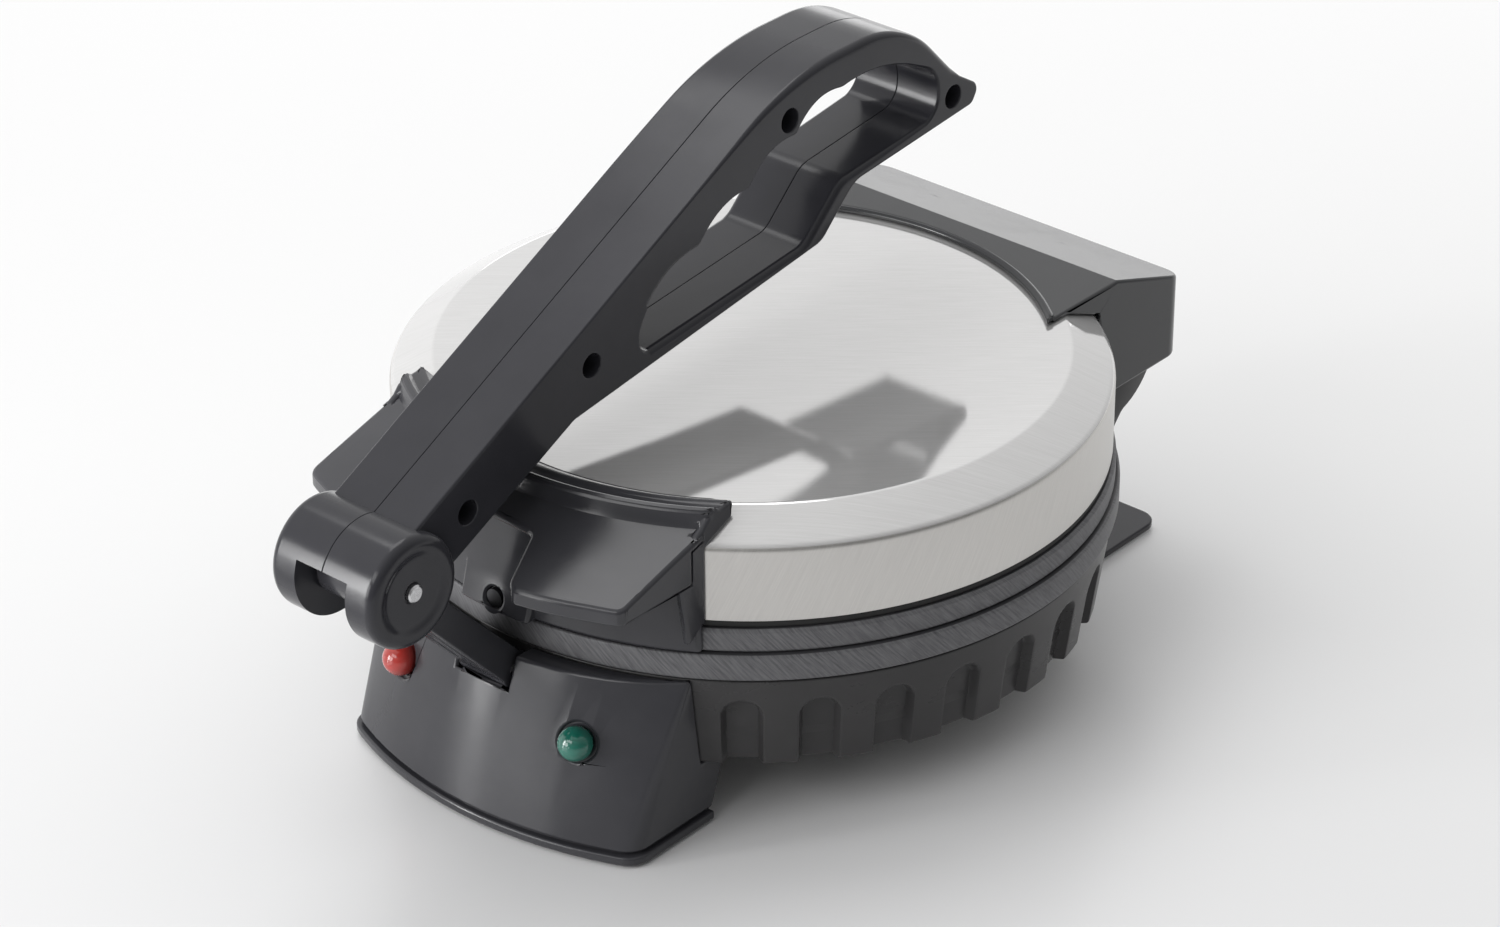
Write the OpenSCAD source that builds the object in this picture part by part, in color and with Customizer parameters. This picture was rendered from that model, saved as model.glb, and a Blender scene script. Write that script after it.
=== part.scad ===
// Electric flatbread press with a hinged lid and a forked press handle.
// Built on the lid's axis: +X to the right of the console, +Y to the rear hinge, +Z up.
// Heights are measured from the surface that it stands on.

/* [Plates] */
// Outer diameter of the lower cooking plate
lower_plate_d = 208.6; // [190:0.2:230]
// Outer diameter of the upper cooking plate
upper_plate_d = 206; // [188:0.2:228]
// Height of the lower plate's rim
lower_rim_h = 8; // [6:0.5:12]
// Height of the upper plate's rim
upper_rim_h = 7; // [5:0.5:10]
// Thickness of both plates inside their rims
plate_t = 4; // [3:0.5:6]
// Height of the seam between the plates above the ground
seam_h = 59; // [55:0.5:70]
// Gap between the closed plates
seam_gap = 0.3; // [0.1:0.1:1]
// Diameter of the recess under the upper plate and over the lower one
recess_d = 190; // [170:1:196]

/* [Steel lid] */
// Outer diameter of the steel lid
lid_d = 204; // [186:0.5:226]
// Thickness of the steel sheet
sheet_t = 0.8; // [0.5:0.1:1.5]
// Height of the steel lid's straight side
lid_side_h = 22.5; // [15:0.5:30]
// Width of the sloped edge around the lid's top
lid_bevel_w = 12.3; // [8:0.5:20]
// Height of the sloped edge
lid_bevel_h = 6.5; // [4:0.5:9]
// Height of the dark ring between the upper plate and the steel lid
gasket_h = 2.2; // [1:0.2:4]

/* [Bowl] */
// Outer diameter at the bottom of the fluted bowl
bowl_bottom_d = 198; // [180:1:210]
// Outer diameter at the top of the fluted bowl
bowl_top_d = 206; // [186:1:216]
// Height of the bowl's underside above the ground
bowl_z = 21.3; // [16:0.5:28]
// Thickness of the bowl's fluted wall
bowl_wall = 5.5; // [4.5:0.5:8]
// Thickness of the bowl's floor
floor_t = 2.5; // [2:0.5:4]
// Number of flutes that a full circle would hold
flute_n = 30; // [24:1:36]
// Width of a flute
flute_w = 12; // [8:0.5:15]
// Height of a flute
flute_h = 22.5; // [10:0.5:24]
// Depth of a flute
flute_depth = 3; // [1:0.5:3.5]
// Gap between the bowl and the lower plate's rim
bowl_gap = 0.8; // [0.3:0.1:2]

/* [Console] */
// Half width of the front console at its foot
console_half = 53.2; // [45:0.2:58]
// Extra half width of the console at its top
console_flare = 1; // [0:0.2:3]
// How far the console's foot stands out in front of the bowl
console_out = 19; // [14:0.5:26]
// How far the console's top edge stands out in front of the bowl
console_top_out = 7; // [5:0.5:10]
// How far the panel bulges at half height
console_bulge = 1.8; // [0:0.2:4]
// How far the console's top corners lie behind its top edge
console_top_sweep = 21.5; // [18:0.5:24]
// How far the console's foot corners lie behind its foot edge
console_foot_sweep = 12.2; // [9:0.2:15]
// Radius of the console's front corners at its foot
console_foot_round = 7; // [4:0.5:8]
// Radius of the console's front corners at its top
console_top_round = 3; // [2.8:0.2:5]
// Depth of the console behind the bowl's front
console_depth = 24; // [19:0.5:30]
// How far the console's back leans rearwards from its foot to half height
console_lean_back = 7.5; // [0:0.5:9]
// Wall of the mouldings
wall = 2.5; // [2:0.5:3]
// Half width of the notch that the link stands in
notch_half = 9.6; // [9.4:0.2:12]
// Height of the notch's bottom edge
notch_z = 40.8; // [38:0.2:42]
// Thickness of the foot plates
foot_t = 2.7; // [2:0.1:4]
// How far the rubber feet stand below the foot plates
foot_gap = 0.9; // [0.5:0.1:2]
// Diameter of a rubber foot
foot_d = 12; // [8:1:16]

/* [Lamps] */
// Diameter of an indicator lens
lens_d = 9.8; // [9:0.1:12]
// How far the middle of a lens's ball stands out of the panel
lens_out = 1.4; // [0:0.1:2]
// Room around a lens in its recess
lens_gap = 0.6; // [0.3:0.1:1]
// Depth of the recess around a lens
lens_recess = 1.2; // [0.8:0.1:1.4]
// Distance from the middle of the console to a lens
lamp_x = 32.4; // [24:0.5:38]
// Height of the lenses above the ground
lamp_z = 32.1; // [26:0.5:38]

/* [Rear] */
// Distance of the lid hinge's axis behind the upper plate's rim
hinge_gap = 4; // [3.5:0.5:9]
// Height of the lid hinge above the ground
hinge_z = 63; // [60:0.5:68]
// Diameter of the hinge pins
hinge_pin_d = 5; // [4:0.5:6]
// Outer half width of the base's hinge ears
ear_half = 55.3; // [50:0.1:60]
// Thickness of a hinge ear
ear_t = 8.3; // [6:0.1:10]
// Radius of the ears' rounded underside
ear_arc_r = 21.5; // [18:0.5:24]
// Thickness of the lid's hinge lugs
lug_t = 8.4; // [6:0.1:10]
// Radius of the lid's hinge lugs
lug_r = 7; // [6:0.5:8]
// Half width of the rear leg
leg_half = 44; // [30:1:50]
// Half width of the rear foot plate
rear_foot_half = 53; // [45:1:60]
// Reach of the rear foot plate behind the lid's axis
rear_reach = 127; // [122:1:135]

/* [Rear cover] */
// Half width of the rear cover
cover_half = 58; // [56:0.5:62]
// Height of the rear cover's flat top
cover_top_z = 98.8; // [96:0.2:104]
// Height of the rear cover's rear top edge
cover_back_z = 87.3; // [82:0.5:94]
// Distance behind the lid's axis at which the top begins to slope
cover_crease = 93.4; // [88:0.5:100]
// Radius of the rear cover's curved front edge
cover_front_r = 83.5; // [80:0.5:90]
// Wall of the rear cover
cover_wall = 2.2; // [1.8:0.1:3]

/* [Front clip] */
// Half width of the front clip
clip_half = 57; // [50:0.5:60]
// Radius of the wings' front edge
wing_r = 131; // [120:1:140]
// Height of the wings' front edge
wing_z = 86.6; // [82:0.2:92]
// Radius at which the wings meet the bead
bead_r = 101; // [99:0.5:104]
// Height at which the wings meet the bead
bead_foot_z = 96.1; // [94:0.5:99]
// Inner radius of the bead
bead_inner_r = 89.5; // [86:0.5:92]
// Height of the top of the bead
bead_top_z = 101.3; // [99:0.1:104]
// Height of the underside of the wings' side walls
wing_under_z = 81.8; // [78:0.2:84]
// Radius of the wings' outer front corners
wing_round = 3.6; // [2:0.2:6]
// Height of the lip on the wings' front edge
lip_h = 4.8; // [2:0.2:5]
// Half width of the gap between the wings at their front edge
gap_front_half = 26; // [22:0.5:32]
// Half width of the gap between the wings at its back
gap_back_half = 18.5; // [17:0.5:22]
// Distance of the gap's back edge in front of the lid's axis
gap_reach = 110; // [106:0.5:116]
// Half width of the block between the wings
block_half = 12.5; // [10:0.5:14]
// Height of the top of the block between the wings
block_top_z = 72.3; // [68:0.5:80]

/* [Link] */
// Distance of the link's lower pivot in front of the bowl
pivot_gap = 4.5; // [3:0.1:6]
// Height of the link's lower pivot
pivot_z = 44.2; // [42:0.1:46]
// Diameter of the link's lower pin
pivot_pin_d = 4; // [3:0.5:5]
// Half length of the link's lower pin
pivot_pin_half = 16; // [13:0.5:20]
// Half thickness of the link across its pins
link_half = 8.5; // [6:0.1:8.8]
// Width of the link's bar at its lower end
link_w_low = 9.6; // [8:0.2:10]
// Width of the link's bar at its upper end
link_w_top = 8.4; // [6:0.2:9]
// Radius of the link's lower eye
link_eye_low = 5.5; // [4.8:0.1:6]
// Radius of the link's upper eye
link_eye_top = 9; // [7:0.1:9.2]

/* [Handle] */
// Distance of the handle's pin in front of the lid's axis
pin_reach = 154; // [150:0.5:160]
// Height of the handle's pin above the ground
pin_z = 94; // [90:0.5:100]
// Diameter of the handle's pin
pin_d = 5; // [4:0.5:6]
// Radius of the handle's round fork
fork_r = 16; // [14:0.5:18]
// Half length of the fork along its pin
fork_half = 18.75; // [16:0.25:22]
// Half width of the slot in the fork
slot_half = 9.2; // [8.8:0.1:10]
// Height of the slot's top edge above the pin
slot_top = 6.2; // [4.5:0.1:7]
// Half width of the handle's bar
handle_half = 15; // [12:0.5:17]
// Wall of the handle's halves
handle_wall = 3; // [2:0.5:4]
// Diameter of the recessed screw holes in the handle
handle_hole_d = 7; // [5:0.5:8]

/* [Fits] */
// Running clearance of a shaft in its hole, on the radius
run_fit = 0.05; // [0.02:0.01:0.09]
// Clearance between a moving piece and the sides beside it
side_fit = 0.3; // [0.2:0.05:0.6]
// Clearance between mouldings that sit together
seat_fit = 0.2; // [0.1:0.05:0.5]

/* [Hidden] */
$fn = 64;
far = 200;

lower_r = lower_plate_d / 2;
upper_r = upper_plate_d / 2;
lid_r = lid_d / 2;
lower_z = seam_h - lower_rim_h;
upper_z = seam_h + seam_gap;
upper_top = upper_z + upper_rim_h;
lid_z = upper_top + gasket_h;
shoulder_z = lid_z + lid_side_h;
lid_top_z = shoulder_z + lid_bevel_h;
lid_flat_r = lid_r - lid_bevel_w;
bowl_r0 = bowl_bottom_d / 2;
bowl_r1 = bowl_top_d / 2;
bowl_top = lower_z - bowl_gap;
bowl_h = bowl_top - bowl_z;
console_reach = bowl_r1 + console_out;
console_top_reach = bowl_r1 + console_top_out;
console_corner = console_top_reach - console_top_sweep;
console_foot_corner = console_reach - console_foot_sweep;
console_back = bowl_r1 - console_depth;
pivot_reach = bowl_r1 + pivot_gap;
hinge_reach = upper_r + hinge_gap;
floor_z = bowl_z + floor_t;
console_z = foot_gap + foot_t + 0.8;
console_top = bowl_top - 0.3;
ear_in = ear_half - ear_t;
lug_out = ear_in - side_fit;
lug_in = lug_out - lug_t;
cover_bottom = hinge_z - 0.5;
clip_outer_r = max(lower_r, upper_r) + 0.5;
front_reach = pin_reach + fork_r;
// The frame's origin lies below the middle of the whole object's box
shift_y = (front_reach - rear_reach) / 2;
link_run = [pivot_reach - pin_reach, pin_z - pivot_z];
link_len = norm(link_run);
link_turn = atan2(link_run[1], link_run[0]);

// Screw posts that hold the lower plate down
post_r = 64;
post_angles = [30, 150, 270];
screw_d = 4;
// Ring heaters: radius of the ring and of the tube
heater_r = 74;
heater_tube = 3.4;
// Half width between the upper plate's rear ears
ear_plate_in = 18;
ear_plate_out = 30;
cover_screw_x = 24;
cover_screw_y = hinge_reach + 0.5;
clip_screw_angle = 22;
clip_screw_z = 84.5;
cord_hole_r = 5;
cord_hole_z = 12;

// Moves a piece from the lid's axis to the part's own origin
module in_frame() { translate([0, shift_y, 0]) children(); }
module both_sides() { children(); mirror([1, 0, 0]) children(); }
// A rod along X between two places, at a distance behind the lid's axis and a height
module rod_x(x0, x1, y, z, r) { translate([x0, y, z]) rotate([0, 90, 0]) cylinder(r = r, h = x1 - x0); }
// A side outline in Y and Z, drawn out along X
module side_slab(x0, x1, outline) {
  translate([x0, 0, 0]) rotate([90, 0, 90]) linear_extrude(x1 - x0) polygon(outline);
}
module ring(r_in, r_out, z0, z1) {
  translate([0, 0, z0]) difference() {
    cylinder(r = r_out, h = z1 - z0, $fn = 128);
    translate([0, 0, -1]) cylinder(r = r_in, h = z1 - z0 + 2, $fn = 128);
  }
}
module lathe(outline) { rotate_extrude($fn = 128) polygon(outline); }

// Unit vector from p to q
function unit(p, q) = (q - p) / norm(q - p);
// Points of the rounded corner b between its neighbours a and c
function corner(a, b, c, r, steps = 0) =
  let (n = steps > 0 ? steps : r > 20 ? 18 : r > 5 ? 9 : 6, u = unit(b, a), v = unit(b, c), turn = acos(max(-1, min(1, u * v))))
  r <= 0 || turn > 179.5 ? [b] :
  let (reach = r / tan(turn / 2), mid = unit([0, 0], u + v), centre = b + mid * (r / sin(turn / 2)),
    p = b + u * reach, q = b + v * reach, a0 = atan2(p[1] - centre[1], p[0] - centre[0]),
    a1 = atan2(q[1] - centre[1], q[0] - centre[0]), sweep = (a1 - a0 + 540) % 360 - 180)
  [for (i = [0:n]) centre + r * [cos(a0 + sweep * i / n), sin(a0 + sweep * i / n)]];
// Outline of corners [y, z, radius], each rounded by its own radius
function rounded(list) = let (n = len(list), p = [for (v = list) [v[0], v[1]]])
  [for (i = [0:n - 1]) for (q = corner(p[(i + n - 1) % n], p[i], p[(i + 1) % n], list[i][2])) q];
// The same outline with every side moved inwards by d; the corners run clockwise seen from +X
function inset(list, d) = let (n = len(list), p = [for (v = list) [v[0], v[1]]])
  [for (i = [0:n - 1]) let (u = unit(p[(i + n - 1) % n], p[i]), v = unit(p[i], p[(i + 1) % n]),
    nu = [u[1], -u[0]], nv = [v[1], -v[0]], m = p[i] + d * (nu + nv) / (1 + nu * nv),
    bend = u[0] * v[1] - u[1] * v[0])
  [m[0], m[1], max(0, list[i][2] + (bend < 0 ? -d : d))]];
// A bulging finger rest between the points p and q
function scallop(p, q, bulge, n = 6) = let (m = (p + q) / 2, u = unit(p, q), w = [-u[1], u[0]])
  [for (i = [0:n - 1]) let (t = i / n) p + (q - p) * t + w * bulge * 4 * t * (1 - t)];

// Handle outline around its pin, clockwise seen from +X: [y, z, corner radius]
handle_corners = [[2, 13.8, 0], [154.3, 89.6, 90], [202.4, 89.6, 42], [227, 63.8, 4],
  [236.2, 58, 3], [233, 52.9, 3], [180.5, 48, 10], [166.5, 34.8, 8], [65, 21.6, 6],
  [19.2, -0.1, 3], [8, -4, 0]];
// Region of the handle that is hollow, around the same pin
hollow_clip = [[25, 0], [25, 45], [120, 92], [178, 95], [178, 85.4], [156, 79.3], [136, 70.5],
  [115, 61.5], [92, 50.5], [86.5, 45], [86.5, 20]];
// Grip opening around the same pin: its front end, its lower edge, and the finger rests above
grip_low = [[91.2, 37.5, 0], [91.2, 29.8, 4], [159.5, 36.4, 8], [175, 50.6, 9], [217.3, 55, 7],
  [217.3, 69, 10], [203, 75.8, 0]];
grip_rests = [[201, 76.4], [175.1, 78.8], [155.6, 71.7], [136, 62.9], [115.5, 53.4], [94.4, 42.9]];
grip_bulge = [1.8, 3.4, 3.2, 3, 2.6];
handle_screw_places = [[23.9, 12], [72.1, 35.2], [152.7, 77], [223.9, 58.4]];

// Rounds the inner corners of an open run of corners
function rounded_run(list) = let (n = len(list), p = [for (v = list) [v[0], v[1]]])
  concat([p[0]], [for (i = [1:n - 2]) for (q = corner(p[i - 1], p[i], p[i + 1], list[i][2])) q],
    [p[n - 1]]);
function grip_outline() = concat(rounded_run(grip_low),
  [for (i = [0:len(grip_bulge) - 1]) for (q = scallop(grip_rests[i], grip_rests[i + 1], -grip_bulge[i])) q],
  [grip_rests[len(grip_rests) - 1]]);

// The steel lid's edge, grown by g on every side
bevel_turn = atan2(lid_bevel_h, lid_bevel_w);
function lid_edge(g) = [[lid_r + g, shoulder_z + g * tan((90 - bevel_turn) / 2)],
  [lid_flat_r + g * tan(bevel_turn / 2), lid_top_z + g]];
module lid_room(g) { lathe(concat([[0, 40], [lid_r + g, 40]], lid_edge(g), [[0, lid_top_z + g]])); }
module bowl_room(g) {
  lathe([[0, bowl_z - g], [bowl_r0 + g, bowl_z - g], [bowl_r1 + g, bowl_top + g],
    [bowl_r1 + g, bowl_top + 9], [0, bowl_top + 9]]);
}

// Console plan at one height: an arc in front, straight sides and a straight rear edge
arc_n = 16;
mid_z = (console_z + console_top) / 2;
mid_reach = (console_reach + console_top_reach) / 2 + console_bulge;
mid_corner = (console_foot_corner + console_corner) / 2 + console_bulge * 0.8;
function arc_r(reach, deep, half) = (half * half + pow(reach - deep, 2)) / (2 * (reach - deep));
function console_outline(reach, deep, half, back, round_r) =
  let (r = arc_r(reach, deep, half), a = asin(half / r),
    front = [for (i = [0:arc_n]) let (t = a * (2 * i / arc_n - 1)) [r * sin(t), r - reach - r * cos(t)]],
    rear = [[half, -back], [-half, -back]])
  concat(corner(rear[1], front[0], front[1], round_r, 6), [for (i = [1:arc_n - 1]) front[i]],
    corner(front[arc_n - 1], front[arc_n], rear[0], round_r, 6), rear);
module console_plan(reach, deep, half, back) {
  polygon(console_outline(reach, deep, half, back, console_foot_round));
}
// Points of that outline at height z, counterclockwise seen from above
function console_ring(reach, deep, half, back, round_r, z) =
  [for (p = console_outline(reach, deep, half, back, round_r)) [p[0], p[1], z]];
// The console's solid, with every side moved inwards by d
module console_body(d, z0, z1) {
  m = arc_n + 15;
  points = concat(
    console_ring(console_reach - d, console_foot_corner - d, console_half - d, console_back + d,
      console_foot_round - d * 0.9, z0),
    console_ring(mid_reach - d, mid_corner - d, console_half + console_flare / 2 - d,
      console_back - console_lean_back + d, (console_foot_round + console_top_round) / 2 - d * 0.9, mid_z),
    console_ring(console_top_reach - d, console_corner - d, console_half + console_flare - d,
      console_back - console_lean_back + d, console_top_round - d * 0.9, z1));
  sides = [for (k = [0:1]) for (i = [0:m - 1]) let (a = k * m + i, b = k * m + (i + 1) % m)
    each [[a, a + m, b + m], [a, b + m, b]]];
  polyhedron(points, concat([[for (i = [0:m - 1]) i]], [[for (i = [m - 1:-1:0]) 2 * m + i]], sides));
}
// The panel's place and lean at a lens
lens_share = (lamp_z - mid_z) / (console_top - mid_z);
lens_reach = mid_reach + (console_top_reach - mid_reach) * lens_share;
lens_corner = mid_corner + (console_corner - mid_corner) * lens_share;
lens_half = console_half + console_flare * (1 + lens_share) / 2;
lens_arc = arc_r(lens_reach, lens_corner, lens_half);
lens_y = lens_arc - lens_reach - sqrt(lens_arc * lens_arc - lamp_x * lamp_x);
lens_turn = asin(lamp_x / lens_arc);
lens_lean = atan2(mid_reach - console_top_reach, console_top - mid_z);
// Puts its children at the right lens, with +Z pointing out of the panel
module at_lens() {
  translate([lamp_x, lens_y, lamp_z]) rotate([90 - lens_lean, 0, lens_turn]) children();
}

console_screw_at = [25, 17.6 - bowl_r1];
front_foot_at = [40, 5 - bowl_r1];
rear_foot_at = [45, rear_reach - 12];
leg_screw_at = [30, 78];
post_top = 46;
shield_z = 43;

module flute() {
  lean = atan2(bowl_r1 - bowl_r0, bowl_h);
  translate([bowl_r0 - flute_depth, 0, bowl_z]) rotate([0, lean, 0]) rotate([90, 0, 90])
    linear_extrude(flute_depth + 3) union() {
      translate([-flute_w / 2, -2]) square([flute_w, flute_h - flute_w / 2 + 2]);
      translate([0, flute_h - flute_w / 2]) circle(flute_w / 2, $fn = 28);
    }
}
// Ear of the base that carries one end of the lid's hinge, in the Y-Z plane
module ear_side() {
  translate([ear_in, 0, 0]) rotate([90, 0, 90]) linear_extrude(ear_t) union() {
    translate([hinge_reach, hinge_z]) circle(10);
    intersection() {
      translate([hinge_reach - 11, hinge_z + 9.5]) circle(ear_arc_r, $fn = 96);
      translate([lower_r - 10.7, lower_z - 5]) square([30, hinge_z - lower_z + 5]);
    }
    polygon([[85, 40], [85, bowl_top], [lower_r - 10.7, bowl_top], [lower_r - 10.7, hinge_z],
      [100, hinge_z], [104, 53], [99, 48.5], [94, 42], [90, 40]]);
  }
}

module base_shell() {
  color([0.1, 0.1, 0.11]) in_frame() difference() {
    union() {
      difference() {
        lathe([[0, bowl_z], [bowl_r0, bowl_z], [bowl_r1, bowl_top], [bowl_r1 - bowl_wall, bowl_top],
          [bowl_r0 - bowl_wall, floor_z], [0, floor_z]]);
        both_sides() for (k = [0:floor(132 / (360 / flute_n))])
          rotate([0, 0, k * 360 / flute_n - 51]) flute();
      }
      difference() {
        both_sides() ear_side();
        translate([0, 0, floor_z])
          cylinder(r1 = bowl_r0 - bowl_wall, r2 = bowl_r1 - bowl_wall, h = bowl_top - floor_z, $fn = 128);
      }
      for (a = post_angles) rotate([0, 0, a]) translate([post_r, 0, bowl_z]) {
        cylinder(r = 6, h = shield_z - bowl_z);
        cylinder(r = 4.6, h = post_top - bowl_z);
      }
      both_sides() for (p = [console_screw_at, leg_screw_at])
        translate([p[0], p[1], bowl_z]) cylinder(r = 4.5, h = 12);
    }
    for (a = post_angles) rotate([0, 0, a]) translate([post_r, 0, bowl_z - 1]) {
      cylinder(r = 4, h = 9);
      cylinder(r = screw_d / 2 + 0.2, h = 40);
    }
    both_sides() for (p = [console_screw_at, leg_screw_at])
      translate([p[0], p[1], bowl_z - 1]) cylinder(r = 1.52, h = 11);
    both_sides() rod_x(ear_in - 1, ear_in + 7.05, hinge_reach, hinge_z, hinge_pin_d / 2 + 0.02);
    translate([-notch_half - 0.4, -bowl_r1 - 2, notch_z - 3]) cube([2 * notch_half + 0.8, 4.4, 20]);
    translate([0, 82, bowl_z - 1]) cylinder(r = 7, h = 10);
    for (a = [0:30:359]) rotate([0, 0, a]) translate([38, 0, bowl_z - 1]) cylinder(r = 3, h = 10, $fn = 32);
  }
}

module front_console() {
  color([0.09, 0.09, 0.1]) in_frame() difference() {
    union() {
      difference() {
        console_body(0, console_z, console_top);
        bowl_room(seat_fit);
        difference() {
          console_body(wall, console_z - 1, console_top - wall);
          bowl_room(wall + seat_fit);
          translate([-notch_half - 5, -130, notch_z - 4]) cube([2 * (notch_half + 5), 60, 20]);
        }
      }
      both_sides() translate([console_screw_at[0], console_screw_at[1], console_z])
        cylinder(r = 4.5, h = bowl_z - seat_fit - console_z);
    }
    translate([-notch_half, -130, notch_z]) cube([2 * notch_half, 32, 30]);
    rod_x(-notch_half, notch_half, -pivot_reach, pivot_z, link_eye_low + 0.7);
    rod_x(-pivot_pin_half - 0.1, pivot_pin_half + 0.1, -pivot_reach, pivot_z, pivot_pin_d / 2 + 0.02);
    both_sides() at_lens() translate([0, 0, -6]) cylinder(r = 4.1, h = 12);
    both_sides() at_lens() translate([0, 0, -lens_recess]) cylinder(r = lens_d / 2 + lens_gap, h = 12);
    both_sides() translate([console_screw_at[0], console_screw_at[1], 0]) cylinder(r = 1.7, h = 30);
  }
}

module console_foot() {
  color([0.12, 0.12, 0.13]) in_frame() difference() {
    union() {
      translate([0, 0, foot_gap]) linear_extrude(foot_t)
        console_plan(console_reach + 0.8, console_foot_corner + 0.8, console_half + 0.8, console_back);
      translate([0, 0, foot_gap]) linear_extrude(console_z - foot_gap)
        console_plan(console_reach - 1.2, console_foot_corner - 1.2, console_half - 1.2, console_back + 1);
    }
    both_sides() translate([front_foot_at[0], front_foot_at[1], foot_gap - 1])
      cylinder(r = foot_d / 2, h = 2);
    both_sides() translate([console_screw_at[0], console_screw_at[1], 0]) cylinder(r = 3.3, h = 2.6);
    both_sides() translate([console_screw_at[0], console_screw_at[1], 0]) cylinder(r = 1.7, h = 30);
  }
}

module rear_leg() {
  color([0.1, 0.1, 0.11]) in_frame() difference() {
    union() {
      translate([0, 0, foot_gap]) linear_extrude(2.1) polygon(rounded([[-rear_foot_half, 55, 2],
        [-rear_foot_half, rear_reach, 6], [rear_foot_half, rear_reach, 6], [rear_foot_half, 55, 2]]));
      difference() {
        translate([0, 0, foot_gap]) linear_extrude(bowl_z - foot_gap)
          polygon(rounded([[-leg_half, 62, 3], [-leg_half, 98, 4], [leg_half, 98, 4], [leg_half, 62, 3]]));
        translate([0, 0, foot_gap + 2.1]) linear_extrude(30)
          polygon(rounded([[-leg_half + wall, 62 + wall, 1], [-leg_half + wall, 98 - wall, 2],
            [leg_half - wall, 98 - wall, 2], [leg_half - wall, 62 + wall, 1]]));
      }
      both_sides() translate([leg_screw_at[0], leg_screw_at[1], foot_gap])
        cylinder(r = 4.8, h = bowl_z - foot_gap);
    }
    both_sides() translate([rear_foot_at[0], rear_foot_at[1], foot_gap - 1])
      cylinder(r = foot_d / 2, h = 2);
    both_sides() translate([leg_screw_at[0], leg_screw_at[1], 0]) cylinder(r = 3.3, h = 4);
    both_sides() translate([leg_screw_at[0], leg_screw_at[1], 0]) cylinder(r = 1.7, h = 30);
    translate([0, 94, cord_hole_z]) rotate([-90, 0, 0]) cylinder(r = cord_hole_r + 0.05, h = 8);
  }
}

module rubber_feet() {
  color([0.16, 0.16, 0.17]) in_frame() both_sides() {
    for (p = [front_foot_at, rear_foot_at])
      translate([p[0], p[1], 0]) cylinder(r = foot_d / 2 - 0.05, h = foot_gap + 1);
  }
}

module cord_bush() {
  color([0.14, 0.14, 0.15]) in_frame() translate([0, 98, cord_hole_z]) rotate([-90, 0, 0])
    rotate_extrude() polygon([[3.2, -3.9], [6.4, -3.9], [6.4, -wall - 0.05], [cord_hole_r, -wall - 0.05],
      [cord_hole_r, 0.05], [7, 0.05], [7, 1], [6.2, 1.8], [3.2, 1.8]]);
}

module lower_plate() {
  under = seam_h - plate_t;
  color([0.36, 0.36, 0.37]) in_frame() difference() {
    union() {
      lathe([[0, under], [lower_r - 6.3, under], [lower_r - 6.3, lower_z], [lower_r - 0.6, lower_z],
        [lower_r, lower_z + 0.6], [lower_r, seam_h - 0.6], [lower_r - 0.6, seam_h], [0, seam_h]]);
      for (a = post_angles) rotate([0, 0, a]) translate([post_r, 0, post_top])
        cylinder(r = 5.5, h = under - post_top + 1);
    }
    for (a = post_angles) rotate([0, 0, a]) translate([post_r, 0, post_top - 1])
      cylinder(r = screw_d / 2 + 0.02, h = 8);
  }
}

// Ring heater with its two cold ends, lying at a height; side is -1 for ends that point down
module heater(z, side) {
  translate([0, 0, z]) {
    rotate([0, 0, 100]) rotate_extrude(angle = 340, $fn = 96) translate([heater_r, 0])
      circle(heater_tube, $fn = 24);
    for (a = [100, 440]) rotate([0, 0, a]) translate([heater_r, 0, 0])
      rotate([side < 0 ? 180 : 0, 0, 0]) cylinder(r = 1.6, h = 6.5, $fn = 24);
  }
}

module lower_heater() {
  color([0.55, 0.53, 0.5]) in_frame() heater(seam_h - plate_t - heater_tube - 0.05, -1);
}

module heat_shield() {
  color([0.75, 0.76, 0.78]) in_frame() difference() {
    lathe([[0, shield_z], [85.2, shield_z], [85.2, shield_z - 4], [86, shield_z - 4], [86, shield_z + 0.8],
      [0, shield_z + 0.8]]);
    for (a = post_angles) rotate([0, 0, a]) translate([post_r, 0, shield_z - 1]) cylinder(r = 4.8, h = 4);
    translate([0, 40, shield_z - 1]) cylinder(r = 8, h = 4);
  }
}

module plate_screws() {
  color([0.7, 0.7, 0.72]) in_frame() for (a = post_angles) rotate([0, 0, a]) translate([post_r, 0, 0]) {
    translate([0, 0, bowl_z + 5]) cylinder(r = 3.6, h = 3);
    translate([0, 0, bowl_z + 7]) cylinder(r = screw_d / 2, h = 24);
  }
}

module thermostat() {
  color([0.6, 0.57, 0.5]) in_frame() translate([0, 12, 0]) {
    translate([0, 0, 50]) cylinder(r = 8, h = seam_h - plate_t - 50);
    translate([0, 0, 47]) cylinder(r = 6.4, h = 3.5);
    both_sides() translate([2.6, -1.5, 44.6]) cube([0.8, 3, 3]);
  }
}

module thermal_fuse() {
  color([0.85, 0.8, 0.65]) in_frame() {
    rod_x(-6, 6, -14, seam_h - plate_t - 2.05, 2);
    rod_x(-16, 16, -14, seam_h - plate_t - 2.05, 0.5);
  }
}

module terminal_block() {
  color([0.9, 0.88, 0.8]) in_frame() difference() {
    translate([-15, 46, floor_z]) cube([30, 14, 11]);
    for (x = [-9, 0, 9]) {
      translate([x, 53, floor_z + 4]) cylinder(r = 2, h = 20, $fn = 32);
      translate([x, 40, floor_z + 5]) rotate([-90, 0, 0]) cylinder(r = 1.6, h = 30, $fn = 32);
    }
  }
}

// Sleeved wire through a list of places
module wire(places, r) {
  for (i = [0:len(places) - 2]) {
    run = places[i + 1] - places[i];
    translate(places[i]) rotate([0, acos(run[2] / norm(run)), atan2(run[1], run[0])])
      cylinder(r = r, h = norm(run), $fn = 16);
  }
  for (i = [1:len(places) - 2]) translate(places[i]) sphere(r, $fn = 16);
}

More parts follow.
